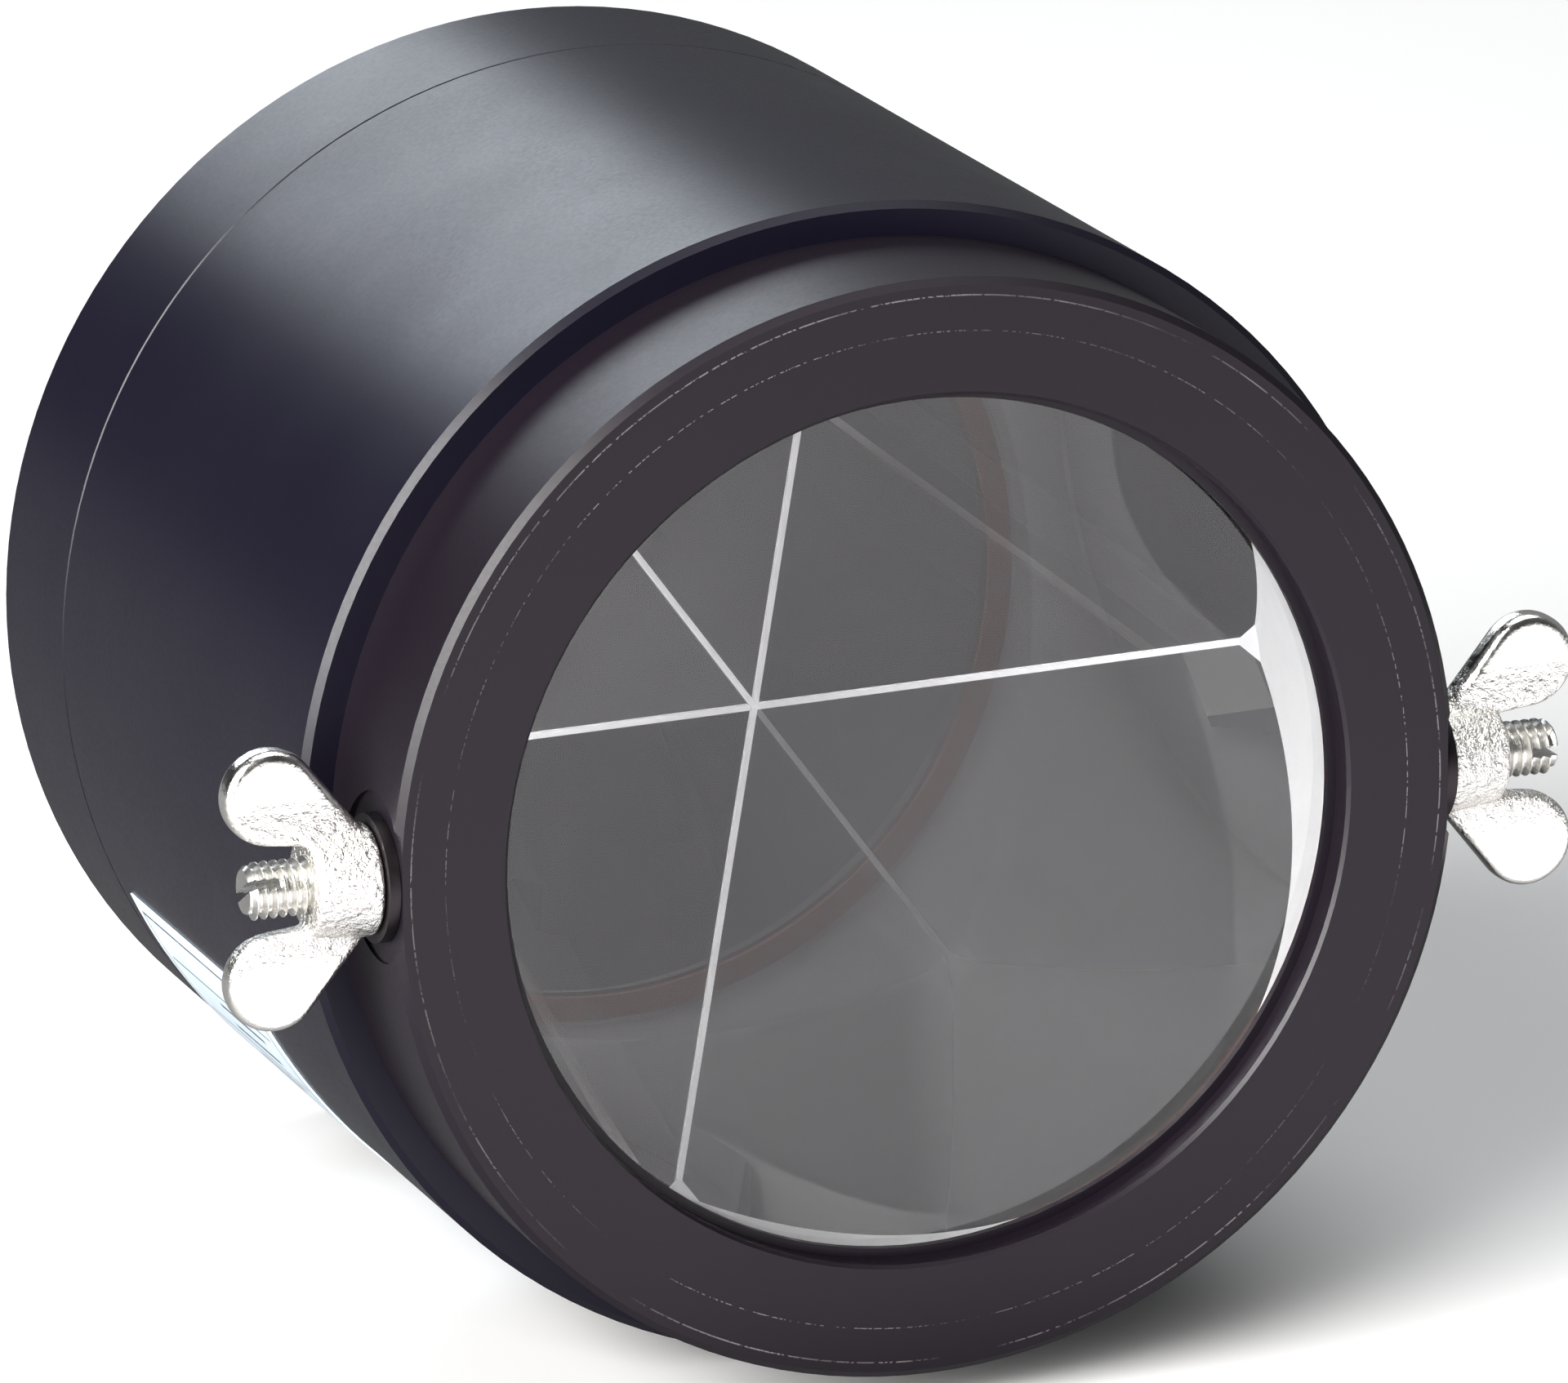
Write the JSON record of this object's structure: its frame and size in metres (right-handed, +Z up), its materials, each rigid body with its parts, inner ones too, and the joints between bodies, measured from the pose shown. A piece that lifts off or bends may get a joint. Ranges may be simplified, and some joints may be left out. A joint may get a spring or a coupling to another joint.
{
  "type": "survey prism",
  "caption": "Glass corner-cube reflector in a black round canister, with a threaded stud and a wing nut on each side for clamping in a tilting yoke.",
  "frame": {"origin": "where the tilt axis through both studs crosses the optical axis, 4.6 mm behind the front face", "axes": "+Y along the optical axis from the front face to the rear, +X along the tilt axis to the right-hand stud seen from the front, +Z up"},
  "size_m": [0.1006, 0.0806, 0.0838],
  "materials": {
    "black_anodised_collar": "satin black anodised",
    "black_anodised_barrel": "satin black anodised, faintly blue",
    "optical_glass": "polished crown glass with ground sides",
    "red_brown_gasket": "matte fibre-filled rubber",
    "black_rubber": "matte",
    "spring_steel": "rolled",
    "label_film": "satin printed film",
    "stainless_thread": "rolled thread",
    "dark_washer": "blackened",
    "nickel_plate": "bright nickel over a slightly rough casting"
  },
  "bodies": {
    "canister": {"collar": "black_anodised_collar", "barrel": "black_anodised_barrel", "rear_cap": "black_anodised_barrel", "prism": "optical_glass", "seat_gasket": "red_brown_gasket", "pad_right": "black_rubber", "pad_top": "black_rubber", "pad_bottom": "black_rubber", "pressure_ring": "black_anodised_collar", "disc_spring": "spring_steel", "lock_ring": "black_anodised_collar", "collar_o_ring": "black_rubber", "cap_o_ring": "black_rubber", "label": "label_film", "stud_right": "stainless_thread", "stud_left": "stainless_thread"},
    "washer_right": {"washer_right": "dark_washer"},
    "wing_nut_right": {"wing_nut_right": "nickel_plate"},
    "washer_left": {"washer_left": "dark_washer"},
    "wing_nut_left": {"wing_nut_left": "nickel_plate"}
  },
  "joints": [
    {"name": "nut_right_travel", "type": "slide", "parent": "canister", "child": "washer_right", "axis": [1, 0, 0], "range_m": [0, 0.0063]},
    {"name": "nut_right_turn", "type": "hinge", "parent": "washer_right", "child": "wing_nut_right", "pos_m": [0.0421, 0, 0], "axis": [1, 0, 0], "range_deg": [0, 3240]},
    {"name": "nut_left_travel", "type": "slide", "parent": "canister", "child": "washer_left", "axis": [-1, 0, 0], "range_m": [0, 0.0063]},
    {"name": "nut_left_turn", "type": "hinge", "parent": "washer_left", "child": "wing_nut_left", "pos_m": [-0.0421, 0, 0], "axis": [-1, 0, 0], "range_deg": [0, 3240]}
  ],
  "couplings": [
    {"joint": "nut_right_travel", "follows": "nut_right_turn", "m_per_rad": 0.00011141},
    {"joint": "nut_left_travel", "follows": "nut_left_turn", "m_per_rad": 0.00011141}
  ]
}
